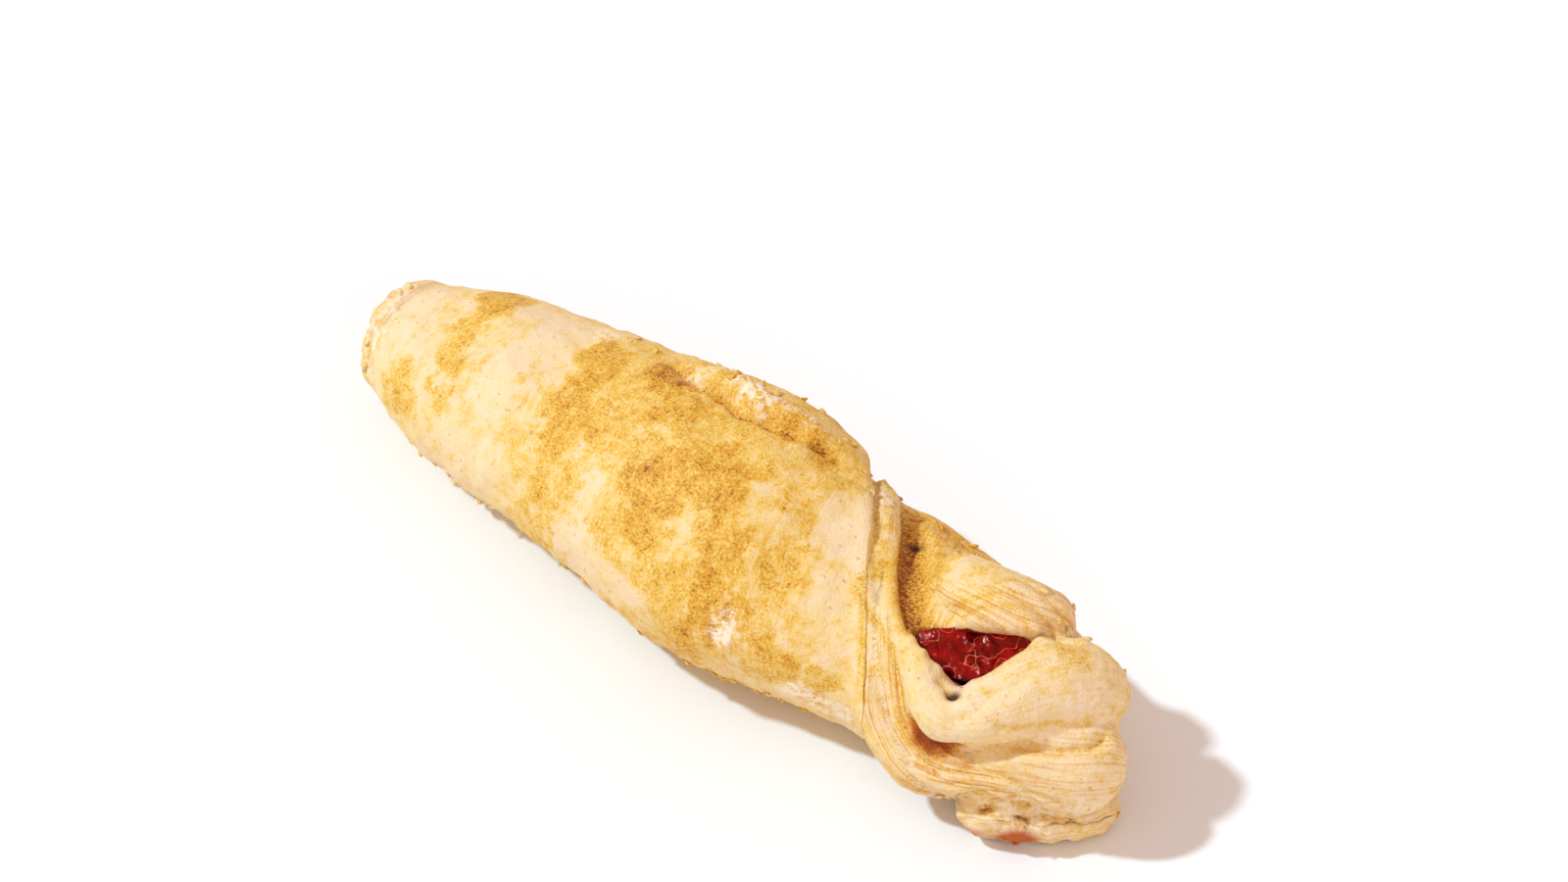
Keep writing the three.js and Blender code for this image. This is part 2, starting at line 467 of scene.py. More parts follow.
# %% Noise and creases
def grain(place, size, seed=0.0):
    """Smooth noise from -1 to 1, whose bumps are about `size` across."""
    shifted = place / size + seed
    return np.fromiter((noise.noise(Vector(p)) for p in shifted), float, len(shifted))


def skin_tree(mesh):
    """A search tree that finds the nearest place on a mesh."""
    return BVHTree.FromPolygons([v.co for v in mesh.vertices], [p.vertices[:] for p in mesh.polygons])


SMOOTH_SKIN = skin_tree(roll.data)
FAR_AWAY = 9  # no crease reaches this far, so points beyond it are skipped


def gap_to(place, line):
    """Distance from each point to a line through a few places, laid on the smooth skin."""
    line = np.asarray(line, float)
    if len(line) > 2:
        line = curve_through(line, np.linspace(0, 1, 6 * len(line)))
    line = np.array([SMOOTH_SKIN.find_nearest(Vector(p))[0] for p in line])
    best = np.full(len(place), 1e9)
    close = np.all((place > line.min(axis=0) - FAR_AWAY) & (place < line.max(axis=0) + FAR_AWAY), axis=1)
    place = place[close]
    nearest = np.linalg.norm(place - line[0], axis=1)
    for a, b in zip(line[:-1], line[1:]):
        step = b - a
        t = np.clip((place - a) @ step / max(step @ step, 1e-9), 0, 1)
        nearest = np.minimum(nearest, np.linalg.norm(place - a - t[:, None] * step, axis=1))
    best[close] = nearest
    return best


# Each crease: its line, its half width, how deep it sinks (less than 0 is a raised rim), and how dark
# it is painted along the crease, as painted shade.
CREASES = {
    "ridge": (
        [
            (-21, 12, 31.8), (-16.5, 10, 33.2), (-13, 9, 34), (-9.2, 9.8, 34.5),
            (-4, 8.2, 35.2), (1.5, 9, 35.2), (6, 10.4, 34.4),
        ],
        1.1,
        1.3,
        0.8,
    ),
    "ridge branch": ([(-15.4, 7, 34.1), (-11.5, 6.9, 34.8), (-8.5, 9.8, 34.6)], 1.0, 0.5, 0.4),
    "ridge rim": ([(-18, 14, 31.7), (-9, 13.4, 33.8), (-1, 13, 34.5), (7, 13.6, 33.2)], 2.3, -1.0, 0.0),
    "ridge lump": ([(-6, 12.2, 34.6), (-2, 11.6, 35)], 2.0, -0.5, 0.0),
    "first pit": ([(8.8, 11.4, 33.8), (10.4, 11.8, 33)], 1.3, 0.9, 0.9),
    "second pit": ([(12.4, 12.2, 32.2)], 1.2, 0.9, 0.9),
    "facet": ([(10.5, 9.4, 33.6), (14, 10.2, 32.6), (18.5, 11.4, 30.8)], 0.8, 0.55, 0.3),
    "facet rim": ([(13.5, 5, 33.4), (16.5, 8.6, 32.4), (19.5, 10.8, 30.6)], 1.4, -0.45, 0.0),
    "valley": (
        [(22.5, 18, 24.5), (29.2, 11.6, 27.5), (33.4, 5.2, 29), (37, 0.6, 28.6), (40.4, -2.3, 27.5)],
        2.7,
        2.5,
        0.86,
    ),
    "valley floor": (
        [(28.6, 11, 25.6), (32.2, 5, 26), (35.6, 0.4, 25.6), (39.2, -2.8, 25)],
        2.6,
        0.3,
        0.98,
    ),
    "dot": ([(30.1, 12.1, 27)], 0.8, 0.8, 1.0),
    "crack": (
        [
            (48.7, -12.6, 19.4), (50, -12.7, 18), (51.2, -12.7, 16.8),
            (53.6, -12.5, 16.8), (56.2, -11.8, 18),
        ],
        1.0,
        1.5,
        1.0,
    ),
    "crack walls": (
        [(49, -12.6, 18.6), (50.8, -13, 16.6), (53.6, -12.7, 16.2), (56, -12, 17.2)],
        1.6,
        0.2,
        0.95,
    ),
    "crack end": ([(56.2, -11.4, 18.6), (59, -8.8, 18.8)], 0.9, 0.5, 0.4),
    "between the lips": ([(56.2, 7, 26.2), (58.2, 9.1, 26.5), (61.3, 9.9, 27.4)], 1.0, 1.0, 0.4),
    "lip roll": (
        [(61.4, -7.5, 23.2), (63.8, -4.7, 22.9), (66, -1.7, 22.5), (68.3, 1.5, 21.5), (70.1, 3.9, 21.2)],
        0.8,
        0.35,
        0.45,
    ),
    "lip dent": ([(57.5, -7.6, 26), (59.5, -4.2, 27.2), (60.2, -1, 28)], 1.2, 0.5, 0.2),
    "lip dent low": ([(55.5, -11, 23.6), (57, -9.6, 24.6)], 1.0, 0.4, 0.3),
    "under the lip": (
        [
            (60.3, -8.3, 18.6), (63.9, -5.8, 19.2), (67, -3.8, 19.2),
            (70, -1.7, 19.2), (72, 0.9, 19.2), (72.6, 4, 19),
        ],
        1.0,
        1.1,
        0.4,
    ),
    "split": (
        [
            (32.5, -4.6, 26.9), (36.5, -5.8, 25.9), (40.4, -7.9, 24.9),
            (43.1, -9.5, 22.8), (45.4, -11.3, 20.4), (48, -13, 17.5),
        ],
        0.8,
        0.6,
        0.5,
    ),
    "flap foot": (
        [
            (20.9, 12.9, 27.5), (30.7, -2.9, 28.1), (35.1, -8, 24.4),
            (37.9, -11.7, 20.8), (40.1, -13.3, 18.2),
        ],
        0.8,
        0.25,
        0.5,
    ),
    "swirl": (
        [(46.5, -13.1, 18.2), (48.4, -14, 16.8), (51.1, -14.4, 15.1), (54.9, -13, 13)],
        0.8,
        0.7,
        0.6,
    ),
    "foot top": (
        [
            (58.8, -12.9, 10.4), (61.7, -11.9, 11.9), (64.3, -9.4, 10.4),
            (66.3, -7, 8.4), (69.9, -5.3, 7), (72.8, -2.8, 5.8),
        ],
        0.8,
        1.1,
        0.5,
    ),
    "brow of the mouth": (
        [(44.5, 1.2, 25.6), (48, 4.2, 27), (52.5, 6, 27.6), (57, 7.4, 27.6)],
        1.5,
        -1.1,
        0.0,
    ),
    "arch one": (
        [
            (43.4, 0.1, 24.9), (44.2, 3, 27.5), (46.5, 5.8, 30.5),
            (49.8, 8.8, 31.1), (53.8, 9.8, 29.8), (57.3, 10.3, 26.4),
        ],
        0.7,
        0.4,
        0.5,
    ),
    "arch two": (
        [(45.7, 6.8, 30.9), (49.1, 12.1, 30.7), (54.3, 12.7, 29.5), (57.7, 13, 26.7)],
        0.6,
        0.35,
        0.45,
    ),
    "arch three": ([(46, 2.5, 28), (48.5, 5, 30.2), (52, 6.4, 30), (55.5, 7.2, 28)], 0.6, 0.35, 0.5),
    "mouth lump": ([(42.3, -5.2, 27.2)], 1.2, -0.6, 0.0),
    "second mouth lump": ([(44.9, -7.2, 27.5)], 1.1, -0.7, 0.0),
    "third mouth lump": ([(47.2, -7.6, 26.8)], 1.0, -0.6, 0.0),
    "hole": ([(53.2, -8.4, 24.8)], 0.9, 0.9, 1.0),
    "hole cracks": ([(50, -8.3, 25.8), (51.5, -8, 25.1), (53, -8.9, 25.2)], 0.6, 0.7, 0.4),
    "foot hole": ([(61.6, -12.6, 8.6), (63, -11.6, 9)], 1.0, 1.0, 0.85),
    "second foot hole": ([(66.4, -9, 7.4), (67.8, -8.2, 7)], 0.9, 0.9, 0.85),
    "fan one": (
        [
            (55, -14, 14), (58, -12.7, 15), (60.7, -10.9, 15),
            (64.6, -8.7, 14.8), (67.2, -7.1, 13.1), (72, -4.3, 10.8),
        ],
        0.6,
        0.5,
        0.5,
    ),
    "fan two": ([(56, -14, 12.4), (60.4, -12, 13.4), (64.4, -9.6, 12.6), (68.6, -7, 10)], 0.5, 0.45, 0.45),
    "fan three": (
        [(58, -11.6, 16.6), (62.5, -9, 16.8), (67, -6.4, 15.6), (71.5, -3.6, 13.4)],
        0.5,
        0.3,
        0.3,
    ),
    "flap rim": (
        [(21.2, 10.2, 29.7), (25.7, 3.7, 30.3), (29.8, -1.6, 28.7), (34.2, -7, 25.2), (38, -11.6, 20.8)],
        1.1,
        -0.3,
        0.0,
    ),
}


def wander_of(place):
    """A small sideways shift at each point, so that no crease runs too evenly."""
    return np.stack([grain(place, 3.0, s) for s in (3.1, 7.7, 12.9)], axis=1) * 0.5


def closeness(place, line, half):
    """1 on the line, falling softly to 0 at about twice `half` from it."""
    return np.exp(-((gap_to(place, line) / half) ** 2))


relief = np.zeros(len(SKIN))
wander = wander_of(SKIN)
for line, half, depth, _ in CREASES.values():
    relief -= depth * closeness(SKIN + wander, line, half)
print("creases:", len(CREASES))

# %% Swells, blisters and cut layers
# The roughest places: where the dough was torn, cut or pinched.
ROUGH = [
    ((-76, -2, 20), 5, 22, 1.0),
    ((-5, 14, 33.5), 16, 4.5, 0.9),
    ((-22, 16, 30), 12, 5, 0.6),
    ((24, 15, 26), 9, 6, 0.8),
    ((45, 17, 22), 14, 6, 0.9),
    ((68, 12, 20), 9, 8, 0.6),
    ((66, -6, 4), 14, 6, 1.0),
    ((46.5, -6.5, 24.5), 4, 3.5, 0.8),
    ((-30, -18, 6), 26, 6, 0.8),
    ((5, -17, 4), 26, 5, 0.6),
    ((0, 20, 6), 60, 7, 0.6),
]
swell = 0.75 * grain(SKIN, 15, 1.3) + 0.5 * grain(SKIN, 6.5, 4.4) + 0.26 * grain(SKIN, 3.2, 8.1)
rough = spread(SKIN, ROUGH)


def ridges_of(place, lines):
    """The fine ridges of the cut layers, from -1 to 1, along each fold's own lines."""
    bent = lines[:, 0] / 1.3 + 0.5 * grain(place, 5, 8.8)
    return grain(np.stack([bent, lines[:, 1] / 16, lines[:, 2] / 2], axis=1), 1.0, 0.7)


ridges = ridges_of(SKIN, lines)
blister = np.maximum(0, grain(SKIN, 1.7, 5.5)) ** 1.5
to_edge = CUT_EDGE_OUT - SKIN @ np.array(edge_facing)
rim = on_wrap * np.exp(-((np.maximum(to_edge, 0) / 2.6) ** 2))
ragged_foot = step_up(SKIN[:, 0], 52, 58) * (1 - step_up(SKIN[:, 2], 5, 8))
# Heights in millimetres.
LAYER_RIDGE, SKIN_RIDGE, BLISTER, RIM, RAGGED = 0.3, 0.06, 0.3, 0.7, 0.8
layer_lines = LAYER_RIDGE * layered * ridges
relief += swell * (0.4 + 0.6 * on_wrap) + layer_lines + SKIN_RIDGE * on_wrap * sure * ridges
relief += BLISTER * blister + RIM * rim + RAGGED * ragged_foot * grain(SKIN, 2.4, 2.6)
relief += rough * (0.4 * grain(SKIN, 1.5, 6.2) + 0.55 * np.maximum(0, grain(SKIN, 2.4, 3.7)))
high = SKIN + OUT * relief[:, None]
high[:, 2] = np.maximum(high[:, 2], 0)
move_points(roll, high)
print("relief, mm:", round(relief.min(), 2), "to", round(relief.max(), 2))

# %% [markdown]
# ## Loose layers and flakes
#
# The outer sheet ends in a thin edge that overhangs the swirl, and thin layers lift wherever the
# dough was cut. They are too thin for the voxel skin, so each is a strip of grid laid on the skin
# along a line, sunk at one side and lifted at the other, and given a thickness. Small flakes are
# thin discs set down by chance near the base, the tail and the seam.

# %% A strip of dough on the skin
STRIP_STEP = 0.8
STRIP_ROWS = 3
SUNK = 0.35  # the share of the strip behind its line, and how deep that side is sunk


def add_strip(bm, tree, line, width, lift, thickness, seed, flip=1, wave=0.45):
    """A thin layer along `line`. Its far edge is `width` to one side and stands `lift` off the skin."""
    line = np.asarray(line, float)
    length = np.linalg.norm(np.diff(line, axis=0), axis=1).sum()
    count = max(6, int(length / STRIP_STEP))
    places = curve_through(line, np.linspace(0, 1, count + 1))
    ways = unit(np.gradient(places, axis=0))
    made = bmesh.ops.create_grid(bm, x_segments=count, y_segments=STRIP_ROWS, size=0.5)["verts"]
    for v in made:
        i = int(round((v.co.x + 0.5) * count))
        share = v.co.y + 0.5
        foot, up, _, _ = tree.find_nearest(Vector(places[i]))
        side = Vector(ways[i]).cross(up).normalized() * flip
        worn = 1 + wave * noise.noise(Vector((i * 0.35, seed, 0)))
        worn += 0.5 * wave * noise.noise(Vector((i, seed, 9)))
        fade = min(1, 4 * min(i, count - i) / count)
        at = foot + side * (width * worn * (share - SUNK) * (0.4 + 0.6 * fade))
        ground, facing, _, _ = tree.find_nearest(at)
        v.co = ground + facing * (-SUNK + (lift * worn * fade + SUNK) * share**0.8)
    faces = {f for v in made for f in v.link_faces}
    bmesh.ops.solidify(bm, geom=list(faces), thickness=thickness)


def on_fold(name, angle, start=0.08, stop=0.92, count=9):
    """A line along a fold's surface, `angle` round from its outermost side."""
    centre, _, side, out, size = spine(FOLDS[name], False, count)
    reach = np.sin(angle) * side * size[:, :1] + np.cos(angle) * out * size[:, 1:]
    first, last = int(start * (count - 1)), int(math.ceil(stop * (count - 1)))
    return (centre + reach)[first : last + 1]


FLAP_EDGE = [
    (18.5, 13.5, 27.5),
    (20.8, 10, 29.8),
    (25.2, 3.6, 30.2),
    (29.3, -1.6, 28.6),
    (33.7, -7, 25.2),
    (37.4, -11.5, 20.8),
    (40.2, -14.4, 16),
    (41.5, -14.6, 11),
]
tree = skin_tree(roll.data)
bm = bmesh.new()
bm.from_mesh(roll.data)
before = len(bm.faces)
add_strip(bm, tree, FLAP_EDGE, 1.6, 0.12, 0.3, 0.3, flip=-1, wave=0.25)
# The other loose layers: the angles round each fold at which one lies.
LOOSE = {
    "foot": (-0.5, 0.5, 1.1),
    "back_fold": (-0.9, 0.3),
    "edge_outer": (0.9,),
    "shelf": (0.9,),
}
for name, angles in LOOSE.items():
    for k, angle in enumerate(angles):
        add_strip(bm, tree, on_fold(name, angle), 1.4, 0.15, 0.22, angle + k, flip=-1 if k % 2 else 1)
print("strips:", len(bm.faces) - before, "faces")

# %% Small flakes
chance = random.Random(11)
skin_points = [v.co.copy() for v in roll.data.vertices]
# Where flakes lie, the points that count as there, and how many.
FLAKY = [
    ("front of the base", lambda p: p.y < -12 and 1 < p.z < 8 and p.x < 30, 60),
    ("tail", lambda p: p.x < -74, 16),
    ("seam", lambda p: p.y > 12 and p.z > 27 and p.x < 30, 36),
    ("swirl", lambda p: p.x > 24 and p.y > 12 and p.z > 20, 18),
    ("foot", lambda p: p.x > 54 and p.z < 7, 26),
    ("back", lambda p: p.y > 14 and p.z < 12, 40),
]
for _, inside, wanted in FLAKY:
    spots = [p for p in skin_points if inside(p)]
    for spot in chance.sample(spots, wanted):
        radius = chance.uniform(0.5, 1.3)
        _, up, _, _ = tree.find_nearest(spot)
        made = bmesh.ops.create_icosphere(bm, subdivisions=1, radius=radius)["verts"]
        tilt = Vector((chance.uniform(-0.6, 0.6), chance.uniform(-0.6, 0.6), chance.uniform(-0.6, 0.6)))
        turn = (up + tilt).to_track_quat("Z", "Y").to_matrix().to_4x4()
        for v in made:
            long = v.co.x * chance.uniform(0.6, 1.3)
            wide = v.co.y * chance.uniform(0.6, 1.1)
            v.co = Vector((long, wide, v.co.z * 0.3))
        bmesh.ops.transform(bm, matrix=Matrix.Translation(spot + up * 0.1) @ turn, verts=made)
for v in bm.verts:
    v.co.z = max(v.co.z, 0)
bm.to_mesh(roll.data)
bm.free()
print("roll with its layers and flakes:", len(roll.data.polygons), "faces")

# %% [markdown]
# ## Browning
#
# The oven browns the high places and leaves the folds and the stretched bands pale. The patches
# have their own places on this pastry, so they are listed as soft blobs, broken up by noise,
# and kept on the skin as a named attribute. The material then turns that number into colour.
# The creases are painted browner too: painted shade.

# %% Patches: place, half length along the roll, half width round it, and how brown
PATCHES = [
    ((-57, 8, 26), 6, 9, 0.62),
    ((-55.5, -2, 26.5), 4.5, 8, 0.5),
    ((-52, -11, 22), 4.5, 6, 0.42),
    ((-62, -11, 17.5), 6, 6, 0.48),
    ((-31, 6, 31), 6.5, 9, 0.62),
    ((-28, -6, 29), 6.5, 9, 0.6),
    ((-26, -15, 22), 5, 7, 0.5),
    ((-19, 9, 33), 6, 6, 0.78),
    ((-12, 3, 35), 8, 8, 0.6),
    ((-5.5, -9, 32.5), 7.5, 9, 0.7),
    ((-4, -16, 27.5), 6, 6, 0.62),
    ((2, -4, 35), 9, 8, 0.64),
    ((9, -10, 32), 8, 8, 0.58),
    ((12.5, -17.5, 24), 5.5, 9, 0.66),
    ((10, -20.5, 14.5), 5, 6, 0.6),
    ((19, -9.5, 29.5), 5, 6, 0.55),
    ((24, -16, 17), 7, 6, 0.55),
    ((31, -13.5, 16), 4, 5, 0.5),
    ((0, 13, 34), 16, 6, 0.6),
    ((12, 12, 32.5), 6, 5, 0.6),
    ((63, 8, 28), 5, 4, 0.5),
    ((68.5, 2.5, 21.5), 3, 1.2, 0.55),
    ((-22, -4, 31), 6, 7, 0.55),
    ((36, 9, 27), 7, 5, 0.5),
    ((43, 10.5, 30), 7, 6, 0.34),
    ((50, 7, 30), 7, 4, 0.38),
    ((30.5, 1.5, 28.8), 3, 6, 0.44),
    ((30, 18, 20), 9, 10, 0.6),
    ((52, 16, 20), 10, 8, 0.6),
    ((-30, 20, 18), 14, 10, 0.6),
    ((2, 24, 18), 16, 10, 0.66),
    ((-60, 15, 16), 9, 8, 0.5),
    ((20, -14, 4), 40, 5, 0.55),
]
# Stretched bands that stay pale. Those at the near end's foot and lower lip also
# lighten faces that get little key light: painted light.
PALE_AND_PAINTED_LIGHT = [
    ((-69, 0, 18), 5, 14, 0.55),
    ((-43, 8, 28), 5, 8, 0.7),
    ((-43, -6, 27), 5, 9, 0.8),
    ((-41, -16, 16), 8, 9, 0.9),
    ((-38, -18, 8), 9, 6, 0.5),
    ((-14, -19, 17), 7, 9, 0.9),
    ((-8, -20.5, 19), 10, 5, 0.9),
    ((3, -14, 30), 2.4, 6, 0.55),
    ((-15, -14, 27), 2.5, 6, 0.7),
    ((1.5, -21, 19), 2.5, 7, 0.5),
    ((22, 4, 31.5), 5, 8, 0.85),
    ((27, -7, 27), 4.5, 6, 0.7),
    ((42, 10, 29), 5, 5, 0.3),
    ((55, -9, 23), 6, 5, 0.9),
    ((66, -3, 23), 6, 6, 0.6),
    ((68, 5, 24), 5, 5, 0.8),
    ((61, -5, 26), 5, 4, 0.7),
    ((36, -3.5, 26.5), 5, 4, 0.7),
    ((12.5, -4.3, 34), 5, 5, 0.5),
    ((32, -11, 22), 4, 4, 0.5),
    ((66, -5, 13), 9, 6, 0.7),
    ((66, -7, 5), 9, 5, 0.8),
    ((22, -19, 12), 12, 5, 0.4),
    ((44, -12, 15), 7, 7, 0.4),
]


def browning_and_crease_shade(place, shade_in_creases, cut):
    """How brown each point is, 0 to 1: patches less pale bands, with noise, and the painted crease shade.
    """
    ragged = place + np.stack([grain(place, 5.0, s) for s in (21.3, 33.1, 47.9)], axis=1) * 3.2
    ragged += np.stack([grain(place, 1.6, s) for s in (2.3, 3.9, 4.1)], axis=1) * 0.9
    middle = step_up(place[:, 0], -38, -26) * (1 - step_up(place[:, 0], 16, 30))
    brown = 0.24 + 0.2 * middle + 0.12 * grain(place, 8, 6.1)
    brown = np.maximum(brown, spread(ragged, PATCHES))
    brown = brown * (1 - 0.75 * spread(ragged, PALE_AND_PAINTED_LIGHT))
    brown += 0.18 * grain(place, 2.4, 9.3) + 0.16 * grain(place, 1.0, 1.7)
    brown = brown * (1 - 0.3 * cut) + 0.1 * cut
    return np.clip(np.maximum(brown, shade_in_creases), 0, 1)


# %% Read the browning and the painted crease shade onto the points
CREASE_SHADE_SPREAD = 1.2
PLACED, PLACED_OUT = points_of(roll)
# The creases have sunk since their lines were drawn, so the skin is read at its places from before.
POINTS = PLACED.copy()
POINTS[: len(SKIN)] = SKIN
_, layered, lines, sure = read_folds(POINTS)
ridges = ridges_of(POINTS, lines)
wander = wander_of(POINTS)
# Each crease darkens the dough near its line: painted shade.
painted_crease_shade = np.zeros(len(POINTS))
for line, half, _, tone in CREASES.values():
    near = closeness(POINTS + wander, line, CREASE_SHADE_SPREAD * half)
    painted_crease_shade = np.maximum(painted_crease_shade, tone * near)
brown = browning_and_crease_shade(POINTS, painted_crease_shade, layered)
# The grooves between the layer ridges are painted browner: painted shade.
brown = np.clip(brown + 0.16 * layered * step_up(-ridges, 0.1, 0.5), 0, 1)
print("browning:", round(brown.min(), 2), round(brown.mean(), 2), round(brown.max(), 2))

# %% Flour with painted light, guava stain and caramel
# Where flour stayed on the crust, and where painted light lightens shaded faces: place, half length,
# half width round the roll, and how much.
FLOUR_AND_PAINTED_LIGHT_PATCHES = [
    ((16, -17.9, 22), 2.6, 4.5, 1.0),
    ((29, -15, 13), 4, 3, 0.9),
    ((34, -13.5, 12), 4, 3, 0.8),
    ((-4, 12.5, 34.5), 5, 3, 0.9),
    ((-16, 11, 33), 3, 3, 0.6),
    ((-75, 0, 18), 3, 14, 0.5),
    ((40, 15, 26), 6, 4, 0.5),
    ((4, 15, 33), 6, 3, 0.7),
    ((-37, 12, 28), 4, 3, 0.5),
    ((22, 13, 28), 4, 4, 0.6),
    # These three lighten the foot and the right of the lower lip, where little key light falls: painted
    # light.
    ((66, -8, 7), 8, 6, 0.6),
    ((73, -2, 9), 4, 6, 0.5),
    ((69, 4, 23), 5, 5, 0.45),
]
# A dusting lies over the near end and along the foot of the roll's front.
dusting = 0.22 * step_up(POINTS[:, 0], 44, 54)
front_foot = step_up(-POINTS[:, 1], 12, 17) * (1 - step_up(POINTS[:, 2], 5, 10))
dusting += 0.45 * front_foot * (1 - step_up(POINTS[:, 0], -14, 2))
scattered = POINTS + np.stack([grain(POINTS, 2.0, s) for s in (1.3, 3.1, 4.9)], axis=1) * 2.5
flour_and_painted_light = np.maximum(spread(scattered, FLOUR_AND_PAINTED_LIGHT_PATCHES), dusting)
out_of_mouth = in_fold(POINTS, MOUTH, FOLD_TIP)[0]
# The guava stains the walls of the mouth, which face its middle, and not the skin around it.
MOUTH_MIDDLE = np.array([50, -0.5, 25.5])
inwards = np.sum(PLACED_OUT * unit(MOUTH_MIDDLE - PLACED), axis=1)
stain = 1 - step_up(out_of_mouth + 0.04 * grain(POINTS, 1.4, 5.1), 1.0, 1.12)
stain *= step_up(inwards, 0.15, 0.5)
stain *= spread(POINTS, [((49.5, -1, 24), 7.2, 8, 1.0)]) * (1 - step_up(PLACED[:, 2], 26.4, 27.2))
# It also seeped out at the mouth's tip and onto its lower rim.
stain = np.maximum(stain, spread(POINTS + wander, [((57.5, 7.6, 27), 2, 1.6, 0.33)]))
stain = np.maximum(stain, spread(POINTS + 0.5 * wander, [((52.6, -6.3, 25.2), 0.9, 0.8, 0.9)]))
# Sugar from the filling browned to caramel on the foot and in the crack under the lip.
caramel = spread(POINTS + wander * 2, [((67, -9.4, 3.4), 6, 3.2, 1.0), ((60, -12, 2.4), 4, 2, 0.6)])
CRACK_FLOOR = [(49, -12.6, 18.9), (50.6, -12.8, 17), (53.4, -12.6, 16.5), (56.6, -11.8, 17.7)]
caramel = np.maximum(caramel, closeness(POINTS + wander, CRACK_FLOOR, 1.2))


# %% Keep the numbers for the material
def keep(piece, name, values):
    """Keeps one number for each point of the piece, for its material to read."""
    kept = piece.data.attributes.new(name, "FLOAT", "POINT")
    kept.data.foreach_set("value", np.asarray(values, np.float32))


keep(roll, "brown", brown)
keep(roll, "flour_and_painted_light", flour_and_painted_light)
keep(roll, "caramel", caramel)
keep(roll, "layered", layered)
keep(roll, "stain", stain)
keep(roll, "sure", sure)
# Holes, pits and the floor of the crack are painted nearly black: painted shade in their depths. Each: its
# line, its half width and how dark it is. Over 1, its middle is evenly dark and its edge is sharper.
PAINTED_HOLE_SHADE = [
    ([(53.2, -8.4, 24.8)], 0.95, 1.7),
    ([(50.4, -12.6, 17.8), (51.2, -12.7, 16.8), (53.6, -12.5, 16.8), (56, -11.9, 17.8)], 0.7, 0.45),
    ([(30.1, 12.1, 27)], 0.9, 1.2),
    ([(61.6, -12.6, 8.6), (63, -11.6, 9)], 0.5, 0.4),
    ([(66.4, -9, 7.4), (67.8, -8.2, 7)], 0.5, 0.4),
    ([(8.8, 11.4, 33.8), (10.4, 11.8, 33)], 0.6, 0.4),
    ([(12.4, 12.2, 32.2)], 0.6, 0.4),
]
painted_hole_shade = np.zeros(len(POINTS))
for line, half, dark in PAINTED_HOLE_SHADE:
    painted_hole_shade = np.maximum(painted_hole_shade, dark * closeness(POINTS + wander, line, half))
keep(roll, "painted_hole_shade", np.minimum(painted_hole_shade, 1))
fold_lines = roll.data.attributes.new("lines", "FLOAT_VECTOR", "POINT")
fold_lines.data.foreach_set("vector", lines.astype(np.float32).ravel())
print("numbers kept on each point:", [a.name for a in roll.data.attributes if a.domain == "POINT"])

# %% [markdown]
# ## Crust material
#
# Baked dough is cream where it stayed pale, gold to brown where the oven reached it, dull, and
# finely speckled. A painted image could hold this, but a node material stays sharp at any
# distance: a colour ramp reads the browning, noise breaks it up, and the cut layers show as
# streaks along the fold lines.

# %% A small helper for node materials
class Recipe:
    """A node material in the making: adds nodes, sets their sockets and links them."""

    def __init__(self, name):
        self.material = bpy.data.materials.new(name)
        self.material.use_nodes = True
        self.tree = self.material.node_tree
        self.shader = self.tree.nodes["Principled BSDF"]

    def add(self, kind, sockets=None, **settings):
        """Adds a node of this kind, and fills its sockets and settings."""
        node = self.tree.nodes.new(kind)
        for key, value in settings.items():
            setattr(node, key, value)
        for key, value in (sockets or {}).items():
            self.put(node.inputs[key], value)
        return node

    def put(self, socket, value):
        """Links the socket to another node's output, or sets it to a value."""
        if isinstance(value, bpy.types.NodeSocket):
            self.tree.links.new(value, socket)
        else:
            socket.default_value = value

    def attribute(self, name, output="Fac"):
        """A number that was kept on each point."""
        return self.add("ShaderNodeAttribute", attribute_name=name).outputs[output]

    def math(self, operation, a, b=0.0, c=0.0):
        """Up to three values joined by one operation."""
        node = self.add("ShaderNodeMath", {0: a, 1: b, 2: c}, operation=operation)
        return node.outputs[0]

    def rise(self, value, low, high):
        """0 below `low`, 1 above `high`."""
        node = self.add(
            "ShaderNodeMapRange",
            {"Value": value, "From Min": low, "From Max": high},
            interpolation_type="SMOOTHSTEP",
        )
        return node.outputs["Result"]

    def noise(self, vector, scale, detail=3.0, roughness=0.55):
        """Cloudy noise from 0 to 1. A higher `scale` makes it finer."""
        sockets = {"Vector": vector, "Scale": scale, "Detail": detail, "Roughness": roughness}
        return self.add("ShaderNodeTexNoise", sockets).outputs["Fac"]

    def mix(self, share, a, b):
        """Colour `a` where `share` is 0, colour `b` where it is 1."""
        node = self.add("ShaderNodeMix", data_type="RGBA")
        self.put(node.inputs["Factor"], share)
        self.put(node.inputs[6], a)
        self.put(node.inputs[7], b)
        return node.outputs[2]


def shade(red, green, blue):
    """A colour as a screen shows it, from 0 to 255, turned into light."""
    parts = [v / 255 for v in (red, green, blue)]
    return tuple(v / 12.92 if v <= 0.04045 else ((v + 0.055) / 1.055) ** 2.4 for v in parts) + (1.0,)


# %% Colours of the crust
TONES = [
    (0.0, (235, 208, 164)),
    (0.2, (235, 204, 146)),
    (0.4, (229, 187, 92)),
    (0.6, (219, 166, 50)),
    (0.8, (204, 140, 38)),
    (1.0, (142, 76, 16)),
]
LINE_DARK = shade(208, 136, 40)
LINE_PALE = shade(243, 203, 122)
BLUSH = shade(238, 208, 176)
FRECKLE = shade(186, 122, 40)
FLOUR_AND_PAINTED_LIGHT_COLOUR = shade(246, 230, 208)
CARAMEL = shade(184, 86, 12)
GUAVA_STAIN = shade(138, 8, 6)
HOLE_SHADE_COLOUR = shade(74, 30, 12)

